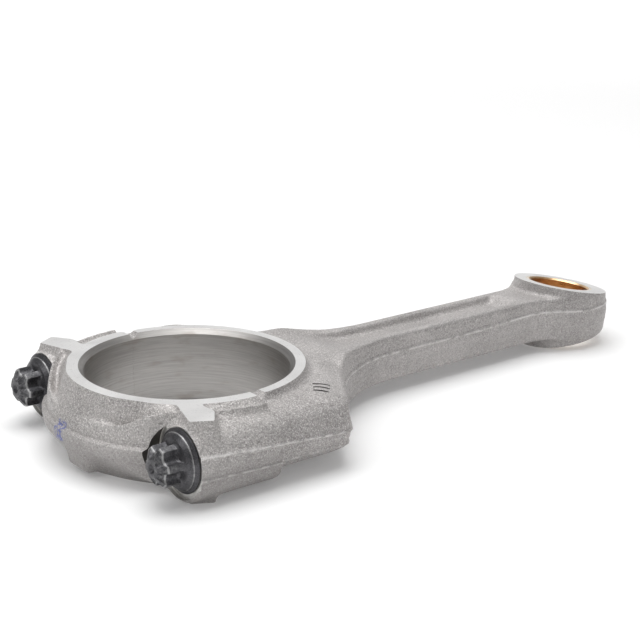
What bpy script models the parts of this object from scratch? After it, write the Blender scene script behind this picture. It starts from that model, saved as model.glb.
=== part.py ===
"""Connecting rod lying on its side: forged rod, split bearing cap, two cap bolts and a pin bushing.

The row's frame: +X runs from the big end to the small end, +Z is along both bores, and the origin is
the bottom centre of the whole rod's box. Shapes are drawn about the big end's centre at mid thickness,
and one empty, rod_axis, carries them to their place. Drawn lengths are millimetres times MM.
"""
import math

import bmesh
import bpy
from mathutils import Matrix, Vector

MM = 0.001

# ---- driving dimensions, in millimetres ----
CENTRE_DISTANCE = 155.0      # big bore axis to small bore axis
HALF_THICKNESS = 11.5        # thrust face to mid plane
BIG_BORE_R = 29.5            # housing bore, without bearing shells
BIG_CHAMFER = 1.5
THRUST_RING_R = 33.8         # outer edge of the machined thrust face
CRUSH_GAP = 0.3              # between neighbouring pieces that touch

BOLT_Y = 36.8                # bolt axis from the rod's centre line
BOSS_R = 9.0                 # forged wall around each bolt
BOLT_R = 4.5                 # M9
FLANGE_R = 8.7
FLANGE_TOP_R = 6.3
FLANGE_RIM = 1.2             # straight edge of the flange, under its cone
HEAD_LOBE_R = 5.6            # six-lobed external drive
HEAD_WAIST_R = 4.6
SEAT_X = -26.5               # bolt seat on the cap
FLANGE_H = 2.8
HEAD_H = 6.6
BOLT_REACH = 14.0            # bolt tip past the split plane
POCKET_R = 10.2              # counterbore around the flange
CAP_BOSS_X = -29.0           # front of the cap's bolt bosses
CAP_WALL_R = 41.5            # outside of the cap's crown
CAP_RIM_R = 39.5
CAP_RIM_Z = 3.5
BALANCE_LUG_R = 43.0         # small lug low on the cap's crown
PAD_X = (-25.5, -16.0)       # machined pad on top of each cap boss
PAD_Y = (31.0, 42.0)

HUB_HALF = 9.5               # forged level around the thrust ring
SHANK_HALF_H = 7.5
SHANK_HALF_W = 8.9
SWEEP_R = 44.0               # sweep from the shank out to the shoulder
SWEEP_X = 72.0               # where the sweep leaves the straight shank
SHOULDER_ANGLE = math.radians(55)
SHOULDER_X = 23.2
CHANNEL_X = (44.0, 130.0)    # the I-section's recess, on both sides
FLANGE_RIB = 3.4             # width of the I-section's flanges
WEB_HALF = 5.0               # the recess is shallow: a thick web

EYE_R = 16.4
EYE_HALF = 8.2               # half thickness on the small bore's axis
EYE_TAPER = 0.2              # each face's slope towards the tip
EYE_FILLET_R = 25.0
BUSH_OUTER_R = 11.5
PIN_BORE_R = 10.0

ROD_TIP_X = CENTRE_DISTANCE + EYE_R
ORIGIN_X = (ROD_TIP_X - BALANCE_LUG_R) / 2
ROUND_STEPS = 96


def clear_scene():
    for thing in list(bpy.data.objects):
        bpy.data.objects.remove(thing, do_unlink=True)


def new_collection(name):
    collection = bpy.data.collections.new(name)
    bpy.context.scene.collection.children.link(collection)
    return collection


def new_material(name, colour, roughness, metallic):
    material = bpy.data.materials.new(name)
    material.use_nodes = True
    shader = material.node_tree.nodes["Principled BSDF"]
    shader.inputs["Base Color"].default_value = (*colour, 1.0)
    shader.inputs["Roughness"].default_value = roughness
    shader.inputs["Metallic"].default_value = metallic
    return material


clear_scene()
PARTS = new_collection("connecting_rod")
CUTTERS = new_collection("cutters")
FORGED = new_material("forged_steel", (0.40, 0.39, 0.38), 0.55, 0.9)
CAP_STEEL = new_material("cap_steel", (0.43, 0.42, 0.40), 0.55, 0.9)
BOLT_BLACK = new_material("phosphated_bolt", (0.045, 0.045, 0.05), 0.45, 0.6)
BRONZE = new_material("bushing_bronze", (0.72, 0.42, 0.16), 0.3, 0.9)

rod_axis = bpy.data.objects.new("rod_axis", None)
rod_axis.location = (-ORIGIN_X * MM, 0, HALF_THICKNESS * MM)
PARTS.objects.link(rod_axis)


def place(name, mesh, collection, location=(0, 0, 0), rotation=(0, 0, 0), parent=None):
    """An object that holds a mesh, at a place in millimetres under the rod's own empty."""
    thing = bpy.data.objects.new(name, mesh)
    collection.objects.link(thing)
    thing.parent = parent or rod_axis
    thing.location = Vector(location) * MM
    thing.rotation_euler = rotation
    if collection is CUTTERS:
        thing.hide_render = True
        thing.display_type = "WIRE"
    return thing


def mesh_of(name, build):
    """A mesh filled by one bmesh operation or more."""
    mesh, work = bpy.data.meshes.new(name), bmesh.new()
    build(work)
    work.to_mesh(mesh)
    work.free()
    return mesh


def box(name, low, high):
    """A box between two corners, in millimetres about the big end's centre."""
    low, high = Vector(low) * MM, Vector(high) * MM
    size = Matrix.Diagonal((*(high - low), 1))
    centre = Matrix.Translation((low + high) / 2)
    return mesh_of(name, lambda work: bmesh.ops.create_cube(work, size=1, matrix=centre @ size))


def round_bar(name, radius, start, end, along="Z", steps=ROUND_STEPS, tip_radius=None):
    """A cylinder, or a cone to tip_radius at its end, from start to end along Z or X."""
    tip_radius = radius if tip_radius is None else tip_radius
    turn = Matrix.Rotation(math.pi / 2, 4, "Y") if along == "X" else Matrix.Identity(4)
    matrix = turn @ Matrix.Translation((0, 0, (start + end) / 2 * MM))
    return mesh_of(name, lambda work: bmesh.ops.create_cone(
        work, cap_ends=True, segments=steps, radius1=radius * MM, radius2=tip_radius * MM,
        depth=(end - start) * MM, matrix=matrix))


def turned(name, profile, steps=ROUND_STEPS):
    """A Screw about Z of a closed profile of (radius, height), listed down its outer side."""
    mesh = bpy.data.meshes.new(name)
    count = len(profile)
    mesh.from_pydata([(r * MM, 0, z * MM) for r, z in profile], [(i, (i + 1) % count) for i in range(count)], [])
    thing = place(name, mesh, CUTTERS)
    screw = thing.modifiers.new("turn", "SCREW")
    screw.steps = screw.render_steps = steps
    screw.use_merge_vertices = True
    screw.merge_threshold = 0.000001
    return baked(thing)


def plate(name, outline, half_height):
    """A filled flat outline, extruded both ways from the mid plane."""
    curve = bpy.data.curves.new(name, "CURVE")
    curve.dimensions = "2D"
    curve.fill_mode = "BOTH"
    curve.extrude = half_height * MM
    spline = curve.splines.new("POLY")
    spline.points.add(len(outline) - 1)
    for point, (x, y) in zip(spline.points, outline):
        point.co = (x * MM, y * MM, 0, 1)
    spline.use_cyclic_u = True
    return baked(place(name, curve, CUTTERS))


def baked(thing):
    """The mesh of an object's evaluated shape, welded, with the object removed."""
    graph = bpy.context.evaluated_depsgraph_get()
    mesh = bpy.data.meshes.new_from_object(thing.evaluated_get(graph))
    work = bmesh.new()
    work.from_mesh(mesh)
    bmesh.ops.remove_doubles(work, verts=work.verts, dist=0.000001)
    bmesh.ops.recalc_face_normals(work, faces=work.faces)
    work.to_mesh(mesh)
    work.free()
    bpy.data.objects.remove(thing, do_unlink=True)
    return mesh


def carved(name, base, joined=(), cut=(), bevel=0.0):
    """One closed mesh: base and each joined mesh in union, less each cut mesh, with its edges rounded.

    A tool is a mesh, or a mesh with the location and rotation that place() takes.
    """
    body = place(name, base, CUTTERS)
    tools = []
    for operation, meshes in (("UNION", joined), ("DIFFERENCE", cut)):
        for tool in meshes:
            mesh, *where = tool if isinstance(tool, tuple) else (tool,)
            tools.append(place(mesh.name, mesh, CUTTERS, *where))
            modifier = body.modifiers.new(mesh.name, "BOOLEAN")
            modifier.operation = operation
            modifier.solver = "EXACT"
            modifier.object = tools[-1]
    if bevel:
        edge = body.modifiers.new("edge", "BEVEL")
        edge.width = bevel * MM
        edge.segments = 2
        edge.limit_method = "ANGLE"
        edge.angle_limit = math.radians(50)
    mesh = baked(body)
    for tool in tools:
        bpy.data.objects.remove(tool, do_unlink=True)
    return mesh


def part(name, mesh, material, origin=(0, 0, 0), parent=None):
    """A finished piece: its origin on its joint's axis, smooth where round and sharp at its edges."""
    mesh.name = name
    mesh.transform(Matrix.Translation(-Vector(origin) * MM))
    mesh.materials.append(material)
    mesh.shade_smooth()
    mesh.set_sharp_from_angle(angle=math.radians(35))
    return place(name, mesh, PARTS, origin, parent=parent)


def arc(centre, radius, start, end, steps):
    """Points along an arc, angles in degrees."""
    turns = [math.radians(start + (end - start) * i / steps) for i in range(steps + 1)]
    return [(centre[0] + radius * math.cos(t), centre[1] + radius * math.sin(t)) for t in turns]


def both_sides(half):
    """A half outline with y above 0, from one end to the other, closed by its mirror image."""
    return half + [(x, -y) for x, y in reversed(half)]


def sweep_edge(inset):
    """Half outline of the shank: shoulder, 55 degree flank, sweep, straight shank and eye fillet."""
    turn = math.degrees(SHOULDER_ANGLE)
    edge = arc((SWEEP_X, SHANK_HALF_W + SWEEP_R), SWEEP_R + inset, -90 - turn, -90, 8)
    eye_y = SHANK_HALF_W + EYE_FILLET_R
    reach = EYE_R + EYE_FILLET_R
    eye_x = CENTRE_DISTANCE - math.sqrt(reach ** 2 - eye_y ** 2)
    meet = math.degrees(math.asin(eye_y / reach))
    return edge + arc((eye_x, eye_y), EYE_FILLET_R + inset, -90, -meet, 5)


# ---- shapes that the rod and the cap share ----
bore_profile = [(0, 14), (BIG_BORE_R + 4, 14), (BIG_BORE_R, HALF_THICKNESS - BIG_CHAMFER),
                (BIG_BORE_R, BIG_CHAMFER - HALF_THICKNESS), (BIG_BORE_R + 4, -14), (0, -14)]
big_bore = turned("big_bore", bore_profile)
bolt_hole = round_bar("bolt_hole", BOLT_R + CRUSH_GAP, -60, 60, "X", 24)
bolt_holes = [(bolt_hole, (0, side * BOLT_Y, 0)) for side in (-1, 1)]
EYE_SLOPE = math.atan(EYE_TAPER)


def eye_wedges(lowered):
    """Boxes that leave the small end's two sloping faces, lowered below the forging's own."""
    wedge = box("eye_wedge", (-20, -25, 0), (40, 25, 12))
    height = EYE_HALF - lowered
    upper = (wedge, (CENTRE_DISTANCE, 0, height), (0, EYE_SLOPE, 0))
    lower = (wedge, (CENTRE_DISTANCE, 0, -height), (math.pi, -EYE_SLOPE, 0))
    return [upper, lower]


# ---- rod body: forged I-section rod with its half of the big end, and the small-end eye ----
flank_end = (SWEEP_X - SWEEP_R * math.sin(SHOULDER_ANGLE),
             SHANK_HALF_W + SWEEP_R * (1 - math.cos(SHOULDER_ANGLE)))
plate_y = BOLT_Y + 4
plate_x = flank_end[0] - (plate_y - flank_end[1]) / math.tan(SHOULDER_ANGLE)
shank = plate("shank", both_sides([(-5, plate_y), (plate_x, plate_y)] + sweep_edge(0)
                                  + [(CENTRE_DISTANCE, 8)]), SHANK_HALF_H)
hub_edge = [(-5, BOLT_Y), (SHOULDER_X + 4, BOLT_Y)] + sweep_edge(0)[:3]
hub = plate("hub", both_sides(hub_edge), HUB_HALF)
boss = carved("boss", round_bar("boss", BOSS_R, -5, SHOULDER_X, "X", 32), bevel=2)
rod_bosses = [(boss, (0, side * BOLT_Y, 0)) for side in (-1, 1)]
ring = round_bar("thrust_ring", THRUST_RING_R, -HALF_THICKNESS, HALF_THICKNESS)
eye = round_bar("eye", EYE_R, -12, 12, steps=64)
channel_start = arc((CHANNEL_X[0] + 5, 6), 5, 180, 110, 3)
channel_edge = [(x, y - FLANGE_RIB) for x, y in sweep_edge(0) if SWEEP_X - 22 < x < CHANNEL_X[1] - 4]
channel_end = arc((CHANNEL_X[1] - 3, SHANK_HALF_W - FLANGE_RIB - 3), 3, 90, 10, 3)
channel = plate("channel", both_sides(channel_start + channel_edge + channel_end), 6)
channels = [(channel, (0, 0, side * (WEB_HALF + 6))) for side in (-1, 1)]
pin_hole = round_bar("pin_hole", BUSH_OUTER_R + CRUSH_GAP, -15, 15, steps=64)
split_side = box("split_side", (-60, -60, -20), (CRUSH_GAP / 2, 60, 20))
rod_body = carved("rod_body", shank, [hub, *rod_bosses, ring, (eye, (CENTRE_DISTANCE, 0, 0))],
                  [*eye_wedges(0), *channels, big_bore, (pin_hole, (CENTRE_DISTANCE, 0, 0)),
                   *bolt_holes, split_side])
part("rod_body", rod_body, FORGED)

# ---- bearing cap: the other half of the big end, with its bolt bosses, pads and counterbores ----
crown_profile = [(BIG_BORE_R - 3, HALF_THICKNESS), (THRUST_RING_R, HALF_THICKNESS),
                 (CAP_RIM_R, CAP_RIM_Z), (CAP_WALL_R, 1.0), (CAP_WALL_R, -CAP_RIM_Z),
                 (THRUST_RING_R, -HALF_THICKNESS), (BIG_BORE_R - 3, -HALF_THICKNESS)]
crown = turned("crown", crown_profile)
cap_boss = round_bar("cap_boss", BOSS_R + 0.4, CAP_BOSS_X, 5, "X", 32)
cap_bosses = [(cap_boss, (0, side * BOLT_Y, 0)) for side in (-1, 1)]
filler = box("filler", (CAP_BOSS_X + 0.5, -BOLT_Y, 1 - HUB_HALF), (5, BOLT_Y, HUB_HALF - 1))
pads = [box("pad", (PAD_X[0], min(side * PAD_Y[0], side * PAD_Y[1]), -HALF_THICKNESS),
            (PAD_X[1], max(side * PAD_Y[0], side * PAD_Y[1]), HALF_THICKNESS)) for side in (-1, 1)]
pocket = round_bar("pocket", POCKET_R, -60, SEAT_X, "X", 48)
pockets = [(pocket, (0, side * BOLT_Y, 0)) for side in (-1, 1)]
lug = box("balance_lug", (-BALANCE_LUG_R, -9, -10.5), (-36, 3, -4))
rod_side = box("rod_side", (-CRUSH_GAP / 2, -60, -20), (60, 60, 20))
bearing_cap = carved("bearing_cap", crown, [filler, *cap_bosses, *pads, lug],
                     [*pockets, big_bore, *bolt_holes, rod_side])
cap_slide = bpy.data.objects.new("cap_slide", None)
cap_slide.parent = rod_axis
PARTS.objects.link(cap_slide)
part("bearing_cap", bearing_cap, CAP_STEEL, parent=cap_slide)


# ---- cap bolts: flanged M9 bolts with a six-lobed external drive, each origin on its own axis ----
def lobed_outline(steps=36):
    """Six round lobes: the radius swings between the waist and the lobes six times a turn."""
    mean, swing = (HEAD_LOBE_R + HEAD_WAIST_R) / 2, (HEAD_LOBE_R - HEAD_WAIST_R) / 2
    turns = [2 * math.pi * i / steps for i in range(steps)]
    radii = [mean + swing * math.cos(6 * t) for t in turns]
    return [(r * math.cos(t), r * math.sin(t)) for r, t in zip(radii, turns)]


def bolt_mesh():
    """Shaft, flange and cone as one turned piece standing on its tip, with the lobed drive on top."""
    seat = CRUSH_GAP - SEAT_X
    top = seat + FLANGE_H
    tip = -BOLT_REACH
    profile = [(0, top), (FLANGE_TOP_R, top), (FLANGE_R, seat + FLANGE_RIM), (FLANGE_R, seat),
               (BOLT_R, seat), (BOLT_R, tip + 1), (BOLT_R - 1, tip), (0, tip)]
    head = plate("head", lobed_outline(), (HEAD_H + 1) / 2)
    bolt = carved("bolt", turned("shaft", profile, 48), [(head, (0, 0, top + (HEAD_H - 1) / 2))])
    bolt.transform(Matrix.Rotation(-math.pi / 2, 4, "Y"))
    return bolt


for name, side in (("cap_bolt_near", -1), ("cap_bolt_far", 1)):
    bolt = part(name, bolt_mesh(), BOLT_BLACK, parent=cap_slide)
    bolt.location.y = side * BOLT_Y * MM

# ---- pin bushing: bronze bush pressed in the small end, faced to the same taper ----
bush = carved("bush", round_bar("bush", BUSH_OUTER_R, -14, 14, steps=64),
              cut=[(round_bar("pin_bore", PIN_BORE_R, -16, 16, steps=64))])
bush.transform(Matrix.Translation((CENTRE_DISTANCE * MM, 0, 0)))
pin_bushing = carved("pin_bushing", bush, cut=eye_wedges(0.4))
part("pin_bushing", pin_bushing, BRONZE, origin=(CENTRE_DISTANCE, 0, 0))

for cutter in list(CUTTERS.objects):
    bpy.data.objects.remove(cutter, do_unlink=True)
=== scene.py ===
"""Looks of a connecting rod: shot-blasted forging, machined faces, black bolts, bronze bushing."""
import math

import bmesh
import bpy
import numpy as np
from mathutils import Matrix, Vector


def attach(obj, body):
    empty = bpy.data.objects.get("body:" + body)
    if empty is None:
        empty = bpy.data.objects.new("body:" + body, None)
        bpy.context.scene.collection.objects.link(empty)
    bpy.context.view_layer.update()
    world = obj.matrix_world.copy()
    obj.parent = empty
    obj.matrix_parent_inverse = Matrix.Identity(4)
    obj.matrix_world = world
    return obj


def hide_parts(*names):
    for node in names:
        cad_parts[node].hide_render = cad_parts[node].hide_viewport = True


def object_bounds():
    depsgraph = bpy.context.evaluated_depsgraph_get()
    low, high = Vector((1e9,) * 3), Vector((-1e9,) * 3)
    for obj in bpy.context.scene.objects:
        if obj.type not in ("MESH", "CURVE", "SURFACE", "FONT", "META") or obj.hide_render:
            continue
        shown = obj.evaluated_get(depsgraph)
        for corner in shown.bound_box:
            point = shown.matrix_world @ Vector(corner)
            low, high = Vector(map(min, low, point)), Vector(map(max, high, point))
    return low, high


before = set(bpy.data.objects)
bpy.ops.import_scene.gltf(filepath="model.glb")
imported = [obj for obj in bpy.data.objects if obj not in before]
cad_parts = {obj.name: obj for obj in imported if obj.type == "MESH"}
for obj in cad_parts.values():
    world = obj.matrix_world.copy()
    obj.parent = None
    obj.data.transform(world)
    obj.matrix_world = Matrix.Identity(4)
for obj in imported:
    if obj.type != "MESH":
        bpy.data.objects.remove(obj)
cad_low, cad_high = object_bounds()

# ======================================================================================
# THE BLANK: rod and cap are one forging until the cap is cracked off it. Steel, shot
# blasted all over, drop forged in two dies that met on the mid plane, so every height
# below is a distance from that plane. Millimetres about the big bore's centre.
# ======================================================================================
MM = 0.001
CENTRES = 155.0              # big bore axis to small bore axis
FACE = 11.5                  # thrust faces, from the mid plane
RING_R = 33.9                # the raised thrust ring round the big bore
BOLT_Y = 36.8                # bolt axes, either side of the rod's centre line
WALL_DRAFT = 0.09            # forged walls lean in by this much per millimetre of height
FLANK = math.radians(55)     # the shoulders' flank, from the rod's centre line
SWEEP_X, SWEEP_R = 72.0, 44.0        # where the flank's sweep meets the shank, and its radius
SHANK_HALF, SHANK_TOP = 8.9, 7.5     # the I-section, half its breadth and height
RIB, WEB_TOP = 3.6, 5.0              # the I-section's ribs, and its web's height
EYE_R, EYE_BOSS_R = 16.4, 15.7       # the small end's outline, and the raised boss round its bore
BIG_END = Vector((cad_high.x - (CENTRES + EYE_R) * MM, 0.0, (cad_low.z + cad_high.z) / 2))
BOSS_R, CAP_BOSS_R = 9.0, 9.15       # the round walls over each bolt
CROWN_TOP, CROWN_R, WALL_R = 11.6, 34.0, 40.2    # the cap's crown, from the ring to the wall
# plan of the pad ground on each of the cap's bosses, and the balance lug low on the crown: its
# middle, its half lengths before rounding, and the rounding
PAD = [(-16.6, 26.0), (-16.3, 37.2), (-20.2, 42.8), (-25.8, 39.6), (-21.2, 26.0)]
LUG, LUG_HALF, LUG_R = (-35.6, -4.0, -7.2), (1.6, 3.6, 1.2), 2.2


def soft_min(a, b, reach):
    """The smaller of two arrays, with a fillet where they differ by less than reach."""
    near = np.maximum(reach - np.abs(a - b), 0) / reach
    return np.minimum(a, b) - near * near * reach / 4


def soft_max(a, b, reach):
    """The larger of two arrays, with the same fillet."""
    return -soft_min(-a, -b, reach)


def ease(x, start, end):
    """0 before start, 1 after end, and a smooth S between."""
    t = np.clip((x - start) / (end - start), 0, 1)
    return t * t * (3 - 2 * t)


def hump(x, half_width):
    """1 at zero, falling smoothly to 0 at half_width on either side."""
    t = np.clip(1 - np.abs(x) / half_width, 0, 1)
    return t * t * (3 - 2 * t)


def convex(x, y, corners):
    """Distance outside a convex outline of anticlockwise corners: the farthest of its edge lines."""
    corners = np.array(corners)
    far = -np.inf
    for (ax, ay), (bx, by) in zip(corners, np.roll(corners, -1, 0)):
        past_edge = (x - ax) * (by - ay) - (y - ay) * (bx - ax)
        far = np.maximum(far, past_edge / math.hypot(bx - ax, by - ay))
    return far


def flank_distance(x, ay):
    """Distance outside the rod's side, and the side's half breadth: a straight shank, then a
    circular sweep that rises by its radius less its cosine, then a straight flank."""
    run = np.clip(SWEEP_X - x, 0, SWEEP_R * math.sin(FLANK))
    rise = SWEEP_R - np.sqrt(SWEEP_R ** 2 - run ** 2)
    slope = run / np.sqrt(SWEEP_R ** 2 - run ** 2)
    past = np.maximum(SWEEP_X - x - run, 0)
    width = SHANK_HALF + rise + past * math.tan(FLANK)
    return (ay - width) / np.sqrt(1 + slope ** 2), width


def flash_heights(x):
    """Heights of the two flash ridges: straight lines that fall along the shoulders, blended
    into level ones on the shank, where the upper one rises a little towards the small end."""
    on_beam = ease(x, 20, 42)
    upper = (3.2 - 0.081 * (x + 25)) * (1 - on_beam) + (2.1 + 0.9 * ease(x, 100, 135)) * on_beam
    lower = (-3.1 - 0.047 * (x + 25)) * (1 - on_beam) - 2.9 * on_beam
    return upper, lower


def blank(x, y, z):
    """Signed distance from the forging's skin, roughly, in millimetres: below zero inside.

    Each part of the forging is a plan outline leaning in with height, capped by a height of its own
    and rounded where the two meet. Parts are joined with fillets, and the I-section's recess is taken out.
    """
    ay, az = np.abs(y), np.abs(z)
    side, width = flank_distance(x, ay)
    from_eye = np.hypot(x - CENTRES, y)
    lean = WALL_DRAFT * az

    # flash: two trimmed ridges run the length of each side, and drift down along the shoulders
    upper, lower = flash_heights(x)
    flash = 0.5 * hump(z - upper, 0.7) + (0.4 - 0.25 * ease(x, 24, 40)) * hump(z - lower, 0.7)
    flash = flash + 0.16 * ease(z, -3.4, -2.6) * (1 - ease(z, 2.2, 3.0))

    # rod: one plan outline from the shoulders to the small end; level on top, round over each bolt
    plan = soft_min(np.maximum(side, x - CENTRES), from_eye - EYE_R, 8.0)
    top = SHANK_TOP + 1.9 * ease(-x, -60, -38)
    boss = np.hypot(ay - BOLT_Y, z) - BOSS_R - flash
    level = soft_min(soft_max(az - top, ay - 37.0, 3.0), boss, 1.8)
    at_flank = 9.7 - 2.7 * (1 - ease(-side, 0, 9)) + 4 * ease(x, 38, 52)
    level = soft_max(level, az - at_flank, 1.5)
    rod_side = soft_max(plan + lean - flash, level, 1.5)
    rib = RIB + 0.5 * (width - SHANK_HALF)
    floor = WEB_TOP + 4.5 * ease(-x, -60, -40) + 7.0 * ease(x, 123, 137)
    recess = soft_max((ay - (width - rib) + 0.4 * (SHANK_TOP - az)) * 0.93, floor - az, 1.6)
    rod_side = soft_max(rod_side, -recess, 1.2)
    eye_boss = soft_max(from_eye - EYE_BOSS_R + WALL_DRAFT * (az - 7), az - 12.8, 1.0)
    rod_side = soft_min(rod_side, eye_boss, 1.6)

    # cap's crown: falls from the thrust ring to a rim that dips in the middle of the cap
    r = np.hypot(x, y)
    turn = np.degrees(np.arctan2(ay, -x))
    rim = 2.7 + 7.0 * ease(turn, 20, 52)
    slope_run = 7.6 - 1.7 * ease(z, 0.2, 1.2)
    fall = np.clip((r - CROWN_R) / slope_run, 0, 1)
    bead = 1.5 * hump(r - 39.3, 1.4) * ease(turn, 6, 20)
    crease = 1.0 * hump(r - 37.2, 1.5) * ease(turn, 12, 28)
    valley = 2.9 * hump(turn - 31, 11) * hump(r - 36.4, 3.4) + 0.5 * hump(r - 36.8, 2.8)
    crown_top = rim + (CROWN_TOP - rim) * (1 - fall) + np.where(z > 0, bead - crease - valley, 0)
    steep = np.sqrt(1 + ((CROWN_TOP - rim) / slope_run) ** 2)
    wall = WALL_R + 1.4 * (1 - ease(z, 0.2, 1.0)) - WALL_DRAFT * az
    crown = soft_max((az - crown_top) / steep, r - wall, 0.7)

    # cap's bosses: thicker below, where their front stands back; level between them and the ring
    below = ease(-z, 1, 9)
    cap_boss = np.hypot(ay - BOLT_Y, z) - CAP_BOSS_R - 2.1 * below - flash
    cap_boss = soft_max(cap_boss, -x - 29.4 + 1.6 * below, 1.6)
    cap_hub = soft_max(soft_max(az - 9.0, ay - 38.0, 3.0), -x - 25.0, 3.0)
    cap_side = soft_min(soft_min(crown, cap_hub, 2.5), cap_boss, 1.6)
    pad = soft_max(convex(x, ay, PAD) + 0.25 * (az - FACE), az - 12.4, 0.6)
    cap_side = soft_min(cap_side, pad, 1.2)
    lug = sum(np.maximum(np.abs(at - middle) - half, 0) ** 2
              for at, middle, half in zip((x, y, z), LUG, LUG_HALF))
    lug = np.sqrt(lug) - LUG_R
    cap_side = soft_min(cap_side, lug, 2.5)

    # the two halves meet on the split plane, under the raised thrust ring
    big_end = np.where(x < 0, np.maximum(cap_side, x), rod_side)
    split_relief = 2.4 * hump(x - 0.2, 4.6)
    skirt = 0.35 * np.clip(FACE - az, -1, 5)
    ring = soft_max(r - RING_R - skirt, az - 12.6 + split_relief, 1.0)
    return soft_min(big_end, ring, 2.0)


def skin(field, xs, ys, zs):
    """Vertices and quads of the surface where a field on a grid of points is zero.

    Each grid cell that the surface crosses gets one vertex, at the mean of the points where it crosses
    the cell's edges. Each grid edge that it crosses gets one quad, from the four cells round that edge.
    """
    inside = field < 0
    corners = [(i, j, k) for i in (0, 1) for j in (0, 1) for k in (0, 1)]
    size = np.array(field.shape) - 1
    count = sum(inside[i:i + size[0], j:j + size[1], k:k + size[2]].astype(np.int8)
                for i, j, k in corners)
    cells = np.argwhere((count > 0) & (count < 8))
    number = np.full(tuple(size), -1)
    number[tuple(cells.T)] = np.arange(len(cells))
    places = [xs, ys, zs]
    total, crossings = np.zeros((len(cells), 3)), np.zeros((len(cells), 1))
    for start in corners:
        for axis in range(3):
            if start[axis]:
                continue
            low = cells + start
            high = low + np.eye(3, dtype=int)[axis]
            a, b = field[tuple(low.T)], field[tuple(high.T)]
            crossed = ((a < 0) != (b < 0))[:, None]
            share = (a / np.where(a == b, 1, a - b))[:, None]
            at_low = np.stack([places[n][low[:, n]] for n in range(3)], 1)
            at_high = np.stack([places[n][high[:, n]] for n in range(3)], 1)
            total += crossed * (at_low + (at_high - at_low) * share)
            crossings += crossed
    quads = []
    for axis in range(3):
        others = [(axis + 1) % 3, (axis + 2) % 3]
        one, two = np.eye(3, dtype=int)[others]
        ahead = np.roll(inside, -1, axis)
        edges = np.argwhere(inside != ahead)
        edges = edges[(edges[:, others] > 0).all(1) & (edges < size).all(1)]
        steps = (one + two, two, 0 * one, one)
        ring = np.stack([number[tuple((edges - step).T)] for step in steps], 1)
        outward = inside[tuple(edges.T)]
        quads.append(np.where(outward[:, None], ring, ring[:, ::-1]))
    return total / crossings, np.concatenate(quads)


def mesh_piece(name, points, faces, material):
    """A closed object from points in millimetres about the big bore and faces, all turned outwards."""
    mesh = bpy.data.meshes.new(name)
    mesh.from_pydata(np.asarray(points) * MM + np.array(BIG_END), [], faces)
    mesh.materials.append(material)
    turned = bmesh.new()
    turned.from_mesh(mesh)
    bmesh.ops.recalc_face_normals(turned, faces=turned.faces)
    turned.to_mesh(mesh)
    turned.free()
    piece = bpy.data.objects.new(name, mesh)
    bpy.context.scene.collection.objects.link(piece)
    return piece


class Wire:
    """A material's socket that sums work on: each operation adds the node that does it."""

    def __init__(self, tree, socket=None):
        self.tree, self.socket = tree, socket

    def node(self, kind, settings=None, sockets=None, out=0):
        """Any node, from its type, its settings and its sockets' values or wires; gives its output."""
        made = self.tree.nodes.new("ShaderNode" + kind)
        for name, value in (settings or {}).items():
            setattr(made, name, value)
        for name, value in (sockets or {}).items():
            if isinstance(value, Wire):
                self.tree.links.new(value.socket, made.inputs[name])
            else:
                made.inputs[name].default_value = value
        return Wire(self.tree, made.outputs[out])

    def math(self, operation, *values):
        """One Math node on these values."""
        return self.node("Math", {"operation": operation}, dict(enumerate(values)))

    def __add__(self, other):
        return self.math("ADD", self, other)

    def __sub__(self, other):
        return self.math("SUBTRACT", self, other)

    def __rsub__(self, other):
        return self.math("SUBTRACT", other, self)

    def __mul__(self, other):
        return self.math("MULTIPLY", self, other)

    __radd__, __rmul__ = __add__, __mul__

    def by(self, operation):
        """This value through an operation that takes one, such as a root or a sine."""
        return self.math(operation, self)

    def rising(self, start, end):
        """0 below start, 1 above end, smooth between."""
        return self.node("MapRange", {"interpolation_type": "SMOOTHSTEP"},
                         {"Value": self, "From Min": start, "From Max": end})

    def tint(self, low, high):
        """A colour between two, by this value."""
        low, high = [c if isinstance(c, Wire) else (*c, 1) for c in (low, high)]
        return self.node("Mix", {"data_type": "RGBA"}, {0: self, 6: low, 7: high}, out=2)

    def moved(self, shift=(0, 0, 0), stretch=(1, 1, 1)):
        """This vector shifted, then stretched."""
        shifted = self.node("VectorMath", {"operation": "ADD"}, {0: self, 1: shift})
        return self.node("VectorMath", {"operation": "MULTIPLY"}, {0: shifted, 1: stretch})

    def noise(self, scale, detail=2.0, roughness=0.5):
        """Noise at this vector, from about 0.25 to 0.75."""
        return self.node("TexNoise", {}, {"Vector": self, "Scale": scale, "Detail": detail,
                                          "Roughness": roughness})

    def parts(self):
        """This vector's three coordinates."""
        split = self.node("SeparateXYZ", {}, {0: self})
        return [Wire(self.tree, s) for s in split.socket.node.outputs]

    def bump(self, depth, strength=1.0, under=None):
        """A normal from this height, depth in metres, laid over another bump if given."""
        sockets = {"Height": self, "Distance": depth, "Strength": strength}
        if under:
            sockets["Normal"] = under
        return self.node("Bump", {}, sockets)


def finish(name, look, metallic, **fixed):
    """A material whose look function turns Object coordinates into colour, roughness, normal and,
    if it glows, the glow's colour."""
    material = bpy.data.materials.new(name)
    material.use_nodes = True
    tree = material.node_tree
    shader = tree.nodes["Principled BSDF"]
    shader.inputs["Metallic"].default_value = metallic
    for socket, value in fixed.items():
        shader.inputs[socket.replace("_", " ")].default_value = value
    place = Wire(tree).node("TexCoord", out=3)
    sockets = ("Base Color", "Roughness", "Normal", "Emission Color")
    for socket, wire in zip(sockets, look(place)):
        tree.links.new(wire.socket, shader.inputs[socket])
    return material


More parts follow.
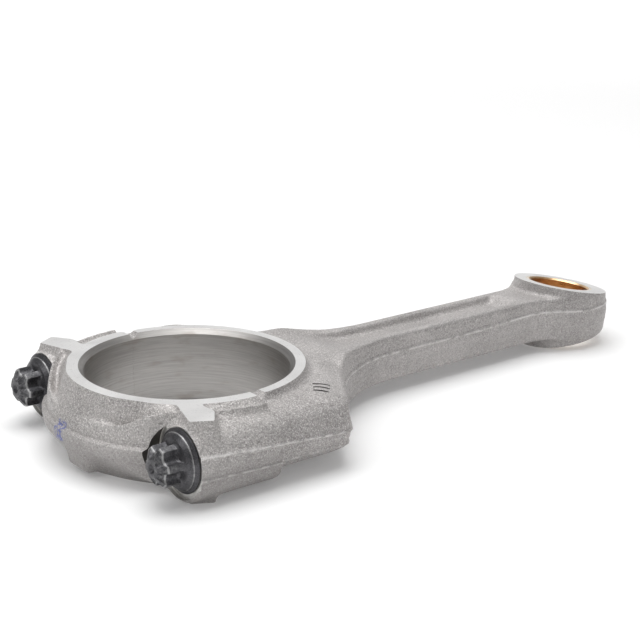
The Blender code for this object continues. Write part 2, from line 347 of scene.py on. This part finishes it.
def blasted_steel(grey, low, high, painted_shade_below, inked=False):
    """Shot-blasted forging: peened grain with bright flecks of painted glint on its tops, cloudy scale and
    slow swells. The lower walls are darkened as painted shade, and the flash ridges are brightened in
    places as a painted highlight.
    The cap also has a dab of blue inspection ink in the middle of its wall."""
    def look(place):
        swell = place.noise(140, 3)
        cloud = place.noise(45, 4, 0.6)
        grain = place.noise(2000, 3, 0.65)
        toward_eye = place.parts()[0].rising(-0.03, 0.0)
        glint_fleck = place.noise(2700, 1).rising(0.54, 0.68) * (1 - toward_eye * 0.5)
        flash_highlight = place.node("Attribute", {"attribute_name": "flash_highlight"}, out=2)
        pits = place.noise(900, 2).rising(0.28, 0.42)
        tone = (grain * 1.1 + cloud * 0.5 - 0.35).rising(0.08, 0.8)
        colour = tone.tint(low, grey)
        # painted glint: the flecks are tinted near white
        colour = (glint_fleck * 0.55).tint(colour, high)
        colour = ((1 - pits) * 0.42 * (1 - toward_eye * 0.4)).tint(colour, low)
        # painted shade: below the mid plane the colour is darkened towards the low colour, as strongly as
        # painted_shade_below
        painted_low_shade = 1 - place.moved(-BIG_END).parts()[2].rising(-0.004, 0.004)
        colour = (painted_low_shade * painted_shade_below).tint(colour, low)
        # painted highlight: along the flash ridges the colour is brightened in broken patches
        colour = (flash_highlight * place.noise(300, 2).rising(0.35, 0.6) * 0.65).tint(colour, high)
        if inked:
            x, y, z = place.moved(-BIG_END).parts()
            dab = (y.rising(-0.0012, -0.0002) * (1 - y.rising(0.0032, 0.0042)) * z.rising(-0.0038, -0.003)
                   * (1 - z.rising(0.0018, 0.0026)) * (1 - x.rising(-0.039, -0.037)))
            colour = (dab * place.noise(900, 2).rising(0.42, 0.54) * 0.75).tint(colour, (0.10, 0.13, 0.42))
        rough = 0.60 - glint_fleck * 0.18 + (1 - pits) * 0.12 - toward_eye * 0.05
        height = (grain * 0.6 + glint_fleck * 0.25 + pits * 0.4).bump(0.00018, 0.9, swell.bump(0.0008, 0.35))
        return colour, rough, height
    return look


PAINTED_HIGHLIGHT_WHITE = (0.95, 0.93, 0.92)          # painted glints on the peened grain's tops, and the painted highlight on the flash ridges
# the last number of each is how strongly the lower walls are darkened as painted shade
forged_steel = finish(
    "forged_steel", blasted_steel((0.60, 0.575, 0.565), (0.25, 0.235, 0.23), PAINTED_HIGHLIGHT_WHITE, 0.18), 0.5)
# the cap is the rod's steel painted lighter, as painted light on its crown, with its lower walls much
# darker as painted shade
cap_steel = finish(
    "cap_steel", blasted_steel((0.67, 0.645, 0.63), (0.27, 0.255, 0.25), PAINTED_HIGHLIGHT_WHITE, 0.62, inked=True), 0.5)

# the grid is finer at both ends of the rod, and over the heights that the flash runs through
stations = np.concatenate([np.arange(-44, 46, 0.5), np.arange(46, 134, 0.8),
                           np.arange(134, 173.6, 0.55)])
breadths = np.arange(-47.5, 47.6, 0.5)
heights = np.concatenate([np.arange(-13.2, -6.2, 0.5), np.arange(-6.2, 6.21, 0.31),
                          np.arange(6.7, 13.3, 0.5)])
field = blank(stations[:, None, None], breadths[None, :, None], heights[None, None, :])
points, quads = skin(field, stations, breadths, heights)
forging = mesh_piece("forging", points, quads.tolist(), forged_steel)

# ======================================================================================
# MACHINING: thrust faces and the small end's wedge faces are ground flat, both bores are
# bored and chamfered, the big one honed. The bolt holes are drilled through the bosses
# and spot-faced deep enough for the bolt heads' flanges.
# ======================================================================================
BIG_BORE_R, BIG_CHAMFER, LOWER_CHAMFER = 29.5, 1.5, 0.6
EYE_HALF, EYE_TAPER, EYE_HOLE_R = 8.2, 0.2, 11.5
POCKET_R, SEAT_X, HOLE_R, HOLE_END = 10.4, -26.5, 4.8, 40.0
LEVEL_END, SLOPE_START = 122, 136    # the thrust faces' grinding ends, the small end's begins
CLEAR_END, PAST_TIP, CLEAR_TOP, CLEAR_SIDE = -50, 176, 18, 52    # the cutters' outer faces


def ground_look(place):
    """Ground face: fine lines that follow the wheel round the bore, brighter and duller in patches."""
    x, y, z = place.moved(-BIG_END).parts()
    radius = (x * x + y * y).by("SQRT")
    lines = radius.node("TexNoise", {"noise_dimensions": "1D"},
                        {"W": radius, "Scale": 3500.0, "Detail": 3.0})
    patches = place.noise(60, 4, 0.6)
    specks = place.noise(1800, 2).rising(0.62, 0.72)
    colour = (patches * 0.7 + lines * 0.3).rising(0.3, 0.7).tint((0.78, 0.77, 0.765), (0.93, 0.925, 0.915))
    colour = (specks * 0.35).tint(colour, (0.35, 0.34, 0.33))
    return colour, 0.24 + lines * 0.14 + patches * 0.12, lines.bump(0.000012, 0.6)


def honed_look(place):
    """Honed bore: fine lines running round it, a faint cross hatch, and a few oil-brown streaks."""
    x, y, z = place.moved(-BIG_END).parts()
    turn = y.math("ARCTAN2", y, x)
    round_way = turn.node("CombineXYZ", {}, {0: turn * 2.0, 1: z * 2200.0, 2: 0.0})
    lines = round_way.noise(1.0, 4, 0.65)
    streaks = turn.node("CombineXYZ", {}, {0: turn * 3.5, 1: z * 260.0, 2: 3.0}).noise(1.0, 3)
    hatch = (turn * 260 + z * 9000).by("SINE") + (turn * 260 - z * 9000).by("SINE")
    brown = streaks.rising(0.55, 0.72)
    colour = lines.rising(0.25, 0.75).tint((0.35, 0.338, 0.328), (0.48, 0.465, 0.45))
    colour = (brown * 0.3).tint(colour, (0.27, 0.225, 0.18))
    return colour, 0.30 + lines * 0.14 + brown * 0.06, (lines + hatch * 0.05).bump(0.00001, 0.5)


def faced_look(place):
    """Spot face and drilled hole: turned rings round the bolt, bright on the seat and on the foot
    of the wall, with painted shade over the rest of the wall."""
    x, y, z = place.moved(-BIG_END).parts()
    off = y.by("ABSOLUTE") - BOLT_Y * MM
    radius = (off * off + z * z).by("SQRT")
    rings = radius.node("TexNoise", {"noise_dimensions": "1D"},
                        {"W": radius, "Scale": 5000.0, "Detail": 2.0})
    dull = place.noise(400, 3)
    tone = (rings * 0.6 + dull * 0.4).rising(0.3, 0.7)
    colour = tone.tint((0.50, 0.49, 0.47), (0.74, 0.73, 0.71))
    wall = 1 - x.rising((SEAT_X - 0.35) * MM, (SEAT_X - 0.15) * MM)
    # painted shade: the pocket wall is darkened almost to black above its lowest part
    colour = (wall * 0.85 * z.rising(-0.009, -0.004)).tint(colour, (0.07, 0.062, 0.055))
    return colour, 0.26 + dull * 0.2 + wall * 0.3, rings.bump(0.00002, 0.6)


ground_steel = finish("ground_steel", ground_look, 1.0)
honed_steel = finish("honed_steel", honed_look, 1.0)
faced_steel = finish("faced_steel", faced_look, 1.0)


def turned_cutter(name, profile, centre, along, material, steps=160):
    """A solid turned from a profile of (radius, distance along the axis) pairs, closed by its two poles."""
    profile = np.array(profile, float)
    turn = np.arange(steps) * math.tau / steps
    spoke, across = np.cos(turn), np.sin(turn)
    rings = np.stack([profile[:, :1] * spoke, profile[:, :1] * across,
                      np.repeat(profile[:, 1:], steps, 1)], -1)
    if along == "x":
        rings = rings[..., [2, 0, 1]]
    axis = [0, 0, 1] if along == "z" else [1, 0, 0]
    poles = np.outer([profile[0, 1], profile[-1, 1]], axis)
    points = np.concatenate([rings.reshape(-1, 3), poles]) + np.array(centre)
    grid = np.arange(len(profile) * steps).reshape(len(profile), steps)
    beside = np.roll(grid, -1, 1)
    sides = np.stack([grid[:-1], beside[:-1], beside[1:], grid[1:]], -1).reshape(-1, 4)
    first, last = grid.size, grid.size + 1
    ends = [[b, a, first] for a, b in zip(grid[0], beside[0])]
    ends += [[a, b, last] for a, b in zip(grid[-1], beside[-1])]
    return mesh_piece(name, points, sides.tolist() + ends, material)


def prism_cutter(name, outline, low, high, plane, material):
    """A prism: an outline in the x-y or the x-z plane, carried from low to high across it."""
    outline = np.array(outline, float)
    n = len(outline)
    ends = [np.column_stack([outline, np.full(n, h)]) for h in (low, high)]
    points = np.concatenate(ends)
    if plane == "xz":
        points = points[:, [0, 2, 1]]
    ring = np.arange(n)
    ahead = np.roll(ring, -1)
    sides = np.stack([ring, ahead, ahead + n, ring + n], 1).tolist()
    return mesh_piece(name, points, sides + [ring.tolist(), (ring + n).tolist()], material)


def cut(target, cutters, operation="DIFFERENCE"):
    """Cuts target with each cutter, which leaves its own material on the faces it makes."""
    for cutter in cutters:
        step = target.modifiers.new("cut", "BOOLEAN")
        step.operation, step.object, step.solver = operation, cutter, "MANIFOLD"
        step.material_mode = "TRANSFER"
        evaluated = target.evaluated_get(bpy.context.evaluated_depsgraph_get())
        made = bpy.data.meshes.new_from_object(evaluated)
        target.modifiers.clear()
        target.data = made
    for cutter in cutters:
        bpy.data.objects.remove(cutter)


def eye_face(x):
    """Height of the small end's sloping face: it falls by the taper for each millimetre."""
    return EYE_HALF + (CENTRES - x) * EYE_TAPER


wedge = [(CLEAR_END, FACE), (LEVEL_END, FACE), (SLOPE_START, eye_face(SLOPE_START)),
         (PAST_TIP, eye_face(PAST_TIP)), (PAST_TIP, CLEAR_TOP), (CLEAR_END, CLEAR_TOP)]
cutters = [prism_cutter(name, [(x, z * way) for x, z in wedge], -CLEAR_SIDE, CLEAR_SIDE, "xz", ground_steel)
           for name, way in (("upper grinding", 1), ("lower grinding", -1))]
BREAK = 3                    # how far the chamfering tool runs past the face
bore_profile = [(BIG_BORE_R + LOWER_CHAMFER + BREAK, -FACE - BREAK), (BIG_BORE_R, LOWER_CHAMFER - FACE),
                (BIG_BORE_R, FACE - BIG_CHAMFER), (BIG_BORE_R + BIG_CHAMFER + BREAK, FACE + BREAK)]
eye_profile = [(EYE_HOLE_R, -CLEAR_TOP), (EYE_HOLE_R, CLEAR_TOP)]
cutters.append(turned_cutter("boring bar", bore_profile, (0, 0, 0), "z", honed_steel, 256))
cutters.append(turned_cutter("reamer", eye_profile, (CENTRES, 0, 0), "z", faced_steel))
HOLE_BREAK = 0.3
hole_profile = [(POCKET_R, -55), (POCKET_R, SEAT_X), (HOLE_R + HOLE_BREAK, SEAT_X),
                (HOLE_R, SEAT_X + HOLE_BREAK), (HOLE_R, HOLE_END)]
for side in (-1, 1):
    cutters.append(turned_cutter("counterbore", hole_profile, (0, side * BOLT_Y, 0), "x", faced_steel, 96))
cut(forging, cutters)


# ======================================================================================
# MATCH MARKS: three plain strokes punched in the near shoulder, to keep cap and rod in
# pairs. They are cut into the blank before the cap is cracked off it.
# ======================================================================================
MARK_FLOOR, MARK_TOP = 8.6, 10.6
MARK_CENTRES = ((23.1, -32.6), (21.6, -34.8), (20.1, -36.8))
MARK_WAY, MARK_ACROSS = np.array([0.8, -0.6]) * 2.5, np.array([0.6, 0.8]) * 0.38    # half a stroke


def stamped_look(place):
    """Punched steel: burnished, and dark all through the stroke, mottled by noise."""
    oil = place.noise(700, 2)
    colour = oil.tint((0.05, 0.048, 0.045), (0.16, 0.155, 0.15))
    return colour, 0.45 + oil * 0.2, oil.bump(0.00005, 0.5)


stamped_steel = finish("stamped_steel", stamped_look, 0.8)
strokes = []
for centre in MARK_CENTRES:
    corners = [centre + MARK_WAY * i + MARK_ACROSS * j for i, j in ((-1, -1), (1, -1), (1, 1), (-1, 1))]
    strokes.append(prism_cutter("punch", corners, MARK_FLOOR, MARK_TOP, "xy", stamped_steel))
cut(forging, strokes)

# ======================================================================================
# THE CRACK: the cap is cracked off the finished rod, so both halves carry the same coarse
# broken face and fit together grain for grain. Only a hairline shows when bolted up.
# ======================================================================================
HAIRLINE = 0.04
CRAG_STEP, CRAG_HEIGHT = 0.65, 0.10    # the broken face's grid, and how rough it is


def broken_look(place):
    """Cleaved steel: bright coarse crystals, matt between them."""
    crystals = place.noise(1400, 3, 0.7)
    glint = place.noise(3000, 1).rising(0.58, 0.68)
    colour = crystals.rising(0.3, 0.7).tint((0.30, 0.295, 0.285), (0.52, 0.51, 0.49))
    colour = (glint * 0.8).tint(colour, (0.85, 0.84, 0.82))
    return colour, 0.5 - glint * 0.2, crystals.bump(0.0003, 0.9)


broken_steel = finish("broken_steel", broken_look, 0.9)


def crack_block(name, far, gap):
    """Everything on one side of the crack, out to x = far. The broken face is random heights on
    a grid, each averaged twice with its four neighbours."""
    across = np.arange(-CLEAR_SIDE, CLEAR_SIDE + 0.1, CRAG_STEP)
    up = np.arange(-15, 15.1, CRAG_STEP)
    crag = np.random.default_rng(11).normal(0, 1, (len(across), len(up)))
    neighbours = ((0, 0), (1, 0), (-1, 0), (1, 1), (-1, 1))
    for _ in range(2):
        crag = sum(np.roll(crag, step, axis) for step, axis in neighbours) / 3
    y, z = np.meshgrid(across, up, indexing="ij")
    front = np.stack([CRAG_HEIGHT * crag + gap, y, z], -1).reshape(-1, 3)
    back = np.stack([np.full_like(y, far), y, z], -1).reshape(-1, 3)
    grid = np.arange(y.size).reshape(y.shape)
    quads = np.stack([grid[:-1, :-1], grid[1:, :-1], grid[1:, 1:], grid[:-1, 1:]], -1).reshape(-1, 4)
    edge = np.concatenate([grid[:, 0], grid[-1, 1:], grid[-2::-1, -1], grid[0, -2:0:-1]])
    ahead = np.roll(edge, -1)
    walls = np.stack([edge, ahead, ahead + y.size, edge + y.size], 1)
    faces = np.concatenate([quads, quads[:, ::-1] + y.size, walls])
    return mesh_piece(name, np.concatenate([front, back]), faces.tolist(), broken_steel)


cap = bpy.data.objects.new("cap_forging", forging.data.copy())
bpy.context.scene.collection.objects.link(cap)
cut(forging, [crack_block("cap side", -60, HAIRLINE / 2)])
cut(cap, [crack_block("rod side", 190, -HAIRLINE / 2)])
forging.name = "rod_forging"
for slot in cap.material_slots:
    if slot.material == forged_steel:
        slot.material = cap_steel
# painted highlight: this attribute is 1 along the flash ridges, where they are painted brighter
for piece, body, node, finish_slot in ((forging, "rod", "rod_body", "forged_steel"),
                                       (cap, "cap", "bearing_cap", "cap_steel")):
    piece.data.polygons.foreach_set("use_smooth", np.ones(len(piece.data.polygons), bool))
    piece.data.set_sharp_from_angle(angle=math.radians(32))
    spots = np.empty(len(piece.data.vertices) * 3, np.float32)
    piece.data.vertices.foreach_get("co", spots)
    x, y, z = ((spots.reshape(-1, 3) - np.array(BIG_END)) / MM).T
    upper, lower = flash_heights(x)
    along_flank = (x > -27) & (np.abs(flank_distance(x, np.abs(y))[0]) < 1.5)
    round_eye = (x > 135) & (np.hypot(x - CENTRES, y) > EYE_BOSS_R + 0.1)
    on_side = along_flank | round_eye | (np.abs(y) > 44)
    flash_highlight = np.clip(hump(z - upper, 0.45) + 0.7 * hump(z - lower, 0.45) * (x < 26), 0, 1) * on_side
    highlight_layer = piece.data.attributes.new("flash_highlight", "FLOAT", "POINT")
    highlight_layer.data.foreach_set("value", flash_highlight.astype(np.float32))
    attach(piece, body)
    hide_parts(node)

# ======================================================================================
# CAP BOLTS: two flanged bolts with six-lobed heads, rolled threads and a black phosphate
# coat that has rubbed to bare steel on the lobes' edges and the flange's rim.
# ======================================================================================
HEAD_FRONT, HEAD_FOOT = -35.9, -29.3
LOBE_R, WAIST_R, SCALLOP_R, FLANGE_R = 5.75, 4.15, 2.0, 8.9
SHAFT_R, THREAD_START, THREAD_END, PITCH, THREAD_DEPTH = 4.5, -7.0, 14.0, 1.25, 0.62
RINGS, STEPS = 340, 132      # along the bolt and round it, fine enough for the thread


def phosphate_look(place):
    """Black phosphate: fine dark crystals, oily in places, worn through where "wear" is high."""
    wear = place.node("Attribute", {"attribute_name": "wear"}, out=2)
    crystals = place.noise(2600, 3, 0.6)
    oil = place.noise(220, 3)
    scuff = place.noise(900, 4, 0.7)
    bare = (wear * 0.9 + scuff * 0.7 - 0.55).rising(0.1, 0.5)
    tone = (crystals * 0.6 + oil * 0.4).rising(0.3, 0.7)
    colour = tone.tint((0.032, 0.032, 0.036), (0.115, 0.113, 0.12))
    colour = (bare * 0.75).tint(colour, (0.42, 0.42, 0.42))
    return colour, 0.42 - oil * 0.2 + crystals * 0.12, (crystals + scuff * 0.5).bump(0.00005, 0.5)


phosphate = finish("phosphate", phosphate_look, 0.65)


def cap_bolt(name, side, phase):
    """A bolt as rings along its axis: the radius is a turned profile, less the flutes of a six-lobed
    outline over the head and less a triangular wave that advances one pitch per turn over the thread."""
    turned = np.array([
        # place along x, radius, how lobed, wear: first the dimple and the head's cone,
        (HEAD_FRONT + 0.8, 0.02, 0, 0), (HEAD_FRONT + 0.75, 0.6, 0, 0),
        (HEAD_FRONT + 0.25, 1.15, 0, 0), (HEAD_FRONT + 0.03, 1.4, 0, 0.1),
        (HEAD_FRONT, 1.9, 0, 0.38), (HEAD_FRONT + 0.1, 2.9, 0.3, 0.42),
        (HEAD_FRONT + 1.0, 4.3, 0.8, 0.4), (HEAD_FRONT + 1.6, 5.1, 0.95, 0.45),
        (HEAD_FRONT + 1.85, 5.45, 0.98, 1.0), (HEAD_FRONT + 2.2, 5.65, 1, 0.4),
        # the lobes, down to their foot,
        (HEAD_FRONT + 2.6, LOBE_R, 1, 0), (HEAD_FOOT - 1.2, LOBE_R, 1, 0),
        (HEAD_FOOT - 0.5, LOBE_R + 0.1, 0.8, 0), (HEAD_FOOT - 0.1, 6.2, 0.3, 0),
        # the flange, stepped and rounded at its rim, down to the seat,
        (HEAD_FOOT + 0.15, 6.8, 0, 0), (HEAD_FOOT + 0.9, 7.5, 0, 0.1),
        (HEAD_FOOT + 1.3, 7.85, 0, 0.55), (HEAD_FOOT + 1.45, 7.95, 0, 0.75),
        (HEAD_FOOT + 1.7, 8.0, 0, 0.1), (HEAD_FOOT + 1.95, 8.35, 0, 0),
        (HEAD_FOOT + 2.2, 8.75, 0, 0.3), (SEAT_X - 0.45, FLANGE_R, 0, 0.2),
        (SEAT_X - 0.1, 8.8, 0, 0), (SEAT_X - 0.02, 8.5, 0, 0), (SEAT_X - 0.02, 5.2, 0, 0),
        # and the fillet, the shaft, the thread and the tip
        (SEAT_X + 0.3, 4.65, 0, 0), (SEAT_X + 0.8, SHAFT_R, 0, 0.1), (THREAD_START, SHAFT_R, 0, 0.1),
        (THREAD_END - 0.9, SHAFT_R, 0, 0.3), (THREAD_END, 3.6, 0, 0.4), (THREAD_END, 0.02, 0, 0.1)])
    reach = np.concatenate([[0], np.cumsum(np.hypot(*np.diff(turned[:, :2], axis=0).T))])
    ring = np.unique(np.concatenate([np.linspace(0, reach[-1], RINGS), reach]))
    along, radius, lobed, wear = (np.interp(ring, reach, turned[:, n])[:, None] for n in range(4))
    turn = np.arange(STEPS) * math.tau / STEPS
    from_flute = np.abs((turn - phase) % (math.tau / 6) - math.tau / 12)
    scallop_at = WAIST_R + SCALLOP_R
    reach_in = np.maximum(SCALLOP_R ** 2 - (scallop_at * np.sin(from_flute)) ** 2, 0)
    scallop = np.where(reach_in > 0, scallop_at * np.cos(from_flute) - np.sqrt(reach_in), LOBE_R + 1)
    outline = soft_min(scallop, LOBE_R + 0 * turn, 0.7)
    crest = np.clip((outline - WAIST_R) / (LOBE_R - WAIST_R), 0, 1)
    radius = radius - lobed * (LOBE_R - outline)
    threaded = ease(along, THREAD_START, THREAD_START + 1.5) * (along < THREAD_END)
    wave = np.abs(((along / PITCH - turn / math.tau) % 1) * 2 - 1)
    radius = radius - threaded * THREAD_DEPTH * wave * (radius > SHAFT_R - 0.1)
    wear = np.maximum(wear, 0.42 * lobed * np.maximum(crest - 0.85, 0) / 0.15)
    rings = np.stack([along + 0 * turn, side * BOLT_Y + radius * np.cos(turn), radius * np.sin(turn)], -1)
    poles = [[turned[0, 0], side * BOLT_Y, 0], [turned[-1, 0], side * BOLT_Y, 0]]
    grid = np.arange(wear.size).reshape(wear.shape)
    beside = np.roll(grid, -1, 1)
    sides = np.stack([grid[:-1], beside[:-1], beside[1:], grid[1:]], -1).reshape(-1, 4)
    ends = np.stack([beside[0], grid[0], grid[0] * 0 + grid.size], 1).tolist()
    ends += np.stack([grid[-1], beside[-1], grid[-1] * 0 + grid.size + 1], 1).tolist()
    bolt = mesh_piece(name, np.concatenate([rings.reshape(-1, 3), poles]), sides.tolist() + ends, phosphate)
    rubbed = bolt.data.attributes.new("wear", "FLOAT", "POINT")
    rubbed.data.foreach_set("value", np.concatenate([wear.ravel(), [0, 0]]).astype(np.float32))
    bolt.data.polygons.foreach_set("use_smooth", np.ones(len(bolt.data.polygons), bool))
    bolt.data.set_sharp_from_angle(angle=math.radians(40))
    return bolt


for name, side, phase, body, node in (("near_bolt", -1, 0.89, "bolt_near", "cap_bolt_near"),
                                      ("far_bolt", 1, 0.13, "bolt_far", "cap_bolt_far")):
    bolt = cap_bolt(name, side, phase)
    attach(bolt, body)
    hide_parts(node)

# ======================================================================================
# BUSHING: a bronze-lined bushing pressed into the small end, faced with the rod so both
# ends slope, then bored and chamfered. It is turned all over.
# ======================================================================================
PIN_BORE_R, BUSH_CHAMFER = 10.0, 0.55


def bronze_look(place):
    """Bored bronze: fine turning lines, orange in the light, with darker brown patches of oil."""
    x, y, z = place.moved((-BIG_END.x - CENTRES * MM, 0, -BIG_END.z)).parts()
    turn = y.math("ARCTAN2", y, x)
    lines = turn.node("CombineXYZ", {}, {0: turn * 1.5, 1: z * 3500.0, 2: 0.0}).noise(1.0, 3)
    patches = place.noise(250, 3)
    tone = (patches * 0.6 + lines * 0.4).rising(0.3, 0.7)
    colour = tone.tint((0.60, 0.36, 0.18), (0.90, 0.64, 0.38))
    return colour, 0.22 + patches * 0.16, lines.bump(0.00002, 0.5)


def faced_bronze_look(place):
    """Bronze faced off with the rod: pale and bright, with the cutter's lines across it."""
    lines = place.moved(stretch=(1, 0.1, 1)).noise(3000, 2)
    colour = lines.rising(0.3, 0.7).tint((0.78, 0.70, 0.58), (0.93, 0.87, 0.78))
    return colour, 0.25 + lines * 0.1, lines.bump(0.00001, 0.5)


bronze = finish("bronze", bronze_look, 1.0)
BUSH_R = EYE_HOLE_R - 0.01
section = np.array([(PIN_BORE_R, -1), (PIN_BORE_R, 1), (PIN_BORE_R + BUSH_CHAMFER, 1), (BUSH_R, 1),
                    (BUSH_R, -1), (PIN_BORE_R + BUSH_CHAMFER, -1)])
turn = np.arange(160) * math.tau / 160
wide, high = section[:, :1] + 0 * turn, section[:, 1:] + 0 * turn
# each end is the rod's sloping face, a hair below it, and lower by the chamfer at the bore
face_height = eye_face(CENTRES + wide * np.cos(turn)) - np.where(wide == PIN_BORE_R, BUSH_CHAMFER, 0.02)
loop = np.stack([CENTRES + wide * np.cos(turn), wide * np.sin(turn), high * face_height], -1)
grid = np.arange(wide.size).reshape(wide.shape)
up, beside = np.roll(grid, -1, 0), np.roll(grid, -1, 1)
walls = np.stack([grid, beside, np.roll(up, -1, 1), up], -1).reshape(-1, 4)
bushing = mesh_piece("bushing", loop.reshape(-1, 3), walls.tolist(), bronze)
bushing.data.materials.append(finish("faced_bronze", faced_bronze_look, 1.0))
bushing.data.polygons.foreach_set("material_index", np.repeat([0, 0, 1, 0, 1, 0], len(turn)))
bushing.data.polygons.foreach_set("use_smooth", np.ones(len(bushing.data.polygons), bool))
bushing.data.set_sharp_from_angle(angle=math.radians(30))
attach(bushing, "rod")
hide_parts("pin_bushing")

# ======================================================================================
# CAMERA, FLOOR, LIGHT: the rod lies on a white card under one big soft box, with three
# weaker ones round it, as a small part is set out on a product table.
# ======================================================================================
camera_data = bpy.data.cameras.new("camera")
camera_data.lens, camera_data.sensor_width = 84.375, 36.0
camera_data.clip_end = 50
camera = bpy.data.objects.new("camera", camera_data)
camera.location = (-0.288569, -0.340003, 0.164711)
camera.rotation_euler = [math.radians(a) for a in (72.3787, -0.6919, -38.5284)]
bpy.context.scene.collection.objects.link(camera)
bpy.context.scene.camera = camera


def floor_look(place):
    """White card, lit evenly from beneath, more so away from the rod all round."""
    speck = place.noise(90, 2)
    x, y, z = place.parts()
    glow = (x * x + y * y).rising(0.16, 1.4).tint((0.2, 0.2, 0.2), (1, 1, 1))
    return (speck.tint((0.86, 0.86, 0.86), (0.88, 0.88, 0.88)), 0.75 + speck * 0.1,
            speck.bump(0.00002, 0.2), glow)


floor_mesh = bpy.data.meshes.new("floor")
FLOOR_HALF, FLOOR_TOP = 8, -0.0002
floor_corners = [(FLOOR_HALF * i, FLOOR_HALF * j, FLOOR_TOP)
                 for i, j in ((-1, -1), (1, -1), (1, 1), (-1, 1))]
floor_mesh.from_pydata(floor_corners, [], [(0, 1, 2, 3)])
floor_mesh.materials.append(finish("floor", floor_look, 0.0, Emission_Strength=0.65))
floor = bpy.data.objects.new("floor", floor_mesh)
bpy.context.scene.collection.objects.link(floor)

world = bpy.data.worlds.new("studio")
bpy.context.scene.world = world
world.use_nodes = True
world.node_tree.nodes["Background"].inputs["Color"].default_value = (1, 1, 1, 1)
world.node_tree.nodes["Background"].inputs["Strength"].default_value = 0.34
for name, spot, size, power in (("top box", (0.0, 0.15, 1.1), 1.0, 10.6),
                                ("side box", (-0.9, 0.1, 0.9), 0.7, 2.0),
                                ("front box", (0.5, -0.9, 0.5), 0.7, 0.2),
                                ("back box", (0.85, 1.05, 0.5), 1.1, 1.5)):
    light = bpy.data.lights.new(name, "AREA")
    light.size, light.energy = size, power
    lamp = bpy.data.objects.new(name, light)
    lamp.location = spot
    lamp.rotation_euler = (Vector((0, 0, 0)) - Vector(spot)).to_track_quat("-Z", "Y").to_euler()
    bpy.context.scene.collection.objects.link(lamp)
bpy.context.scene.view_settings.view_transform = "Standard"
